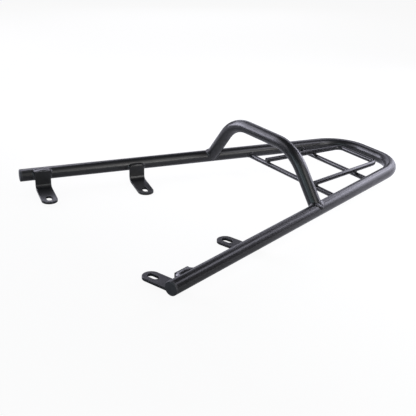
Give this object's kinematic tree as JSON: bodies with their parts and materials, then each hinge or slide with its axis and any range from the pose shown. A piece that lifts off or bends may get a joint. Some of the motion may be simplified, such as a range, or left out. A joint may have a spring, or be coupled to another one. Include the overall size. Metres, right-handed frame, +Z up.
{
  "type": "motorcycle luggage rack",
  "caption": "Rigid welded steel rear luggage rack: a tapering tube frame with a raised grab bar, a round-rod deck and slotted mounting tabs.",
  "frame": {"origin": "middle of the rack's box in plan, on the plane of the middle tabs' undersides", "axes": "+Y to the rear of the vehicle, +Z up, +X to the rack's left as the rider faces forward"},
  "size_m": [0.4626, 0.5693, 0.114],
  "materials": {
    "powder_coat": "semi-gloss black powder coat on steel",
    "weld_bead": "weld beads under the same semi-gloss black powder coat",
    "plug_plastic": "satin black moulded plastic"
  },
  "bodies": {
    "root": {"main_tube": "powder_coat", "grab_bar": "powder_coat", "front_cross_rod": "powder_coat", "rear_cross_rod": "powder_coat", "luggage_loop": "powder_coat", "front_bracket_left": "powder_coat", "front_bracket_right": "powder_coat", "middle_bracket_left": "powder_coat", "middle_bracket_right": "powder_coat", "grab_bar_weld_left": "weld_bead", "grab_bar_weld_right": "weld_bead", "front_rod_weld_left": "weld_bead", "front_rod_weld_right": "weld_bead", "rear_rod_weld_left": "weld_bead", "rear_rod_weld_right": "weld_bead", "loop_front_weld_left": "weld_bead", "loop_front_weld_right": "weld_bead", "loop_rear_weld_left": "weld_bead", "loop_rear_weld_right": "weld_bead", "front_bracket_weld_left": "weld_bead", "front_bracket_weld_right": "weld_bead", "middle_bracket_weld_left": "weld_bead", "middle_bracket_weld_right": "weld_bead", "end_plug_left": "plug_plastic", "end_plug_right": "plug_plastic"}
  },
  "joints": []
}
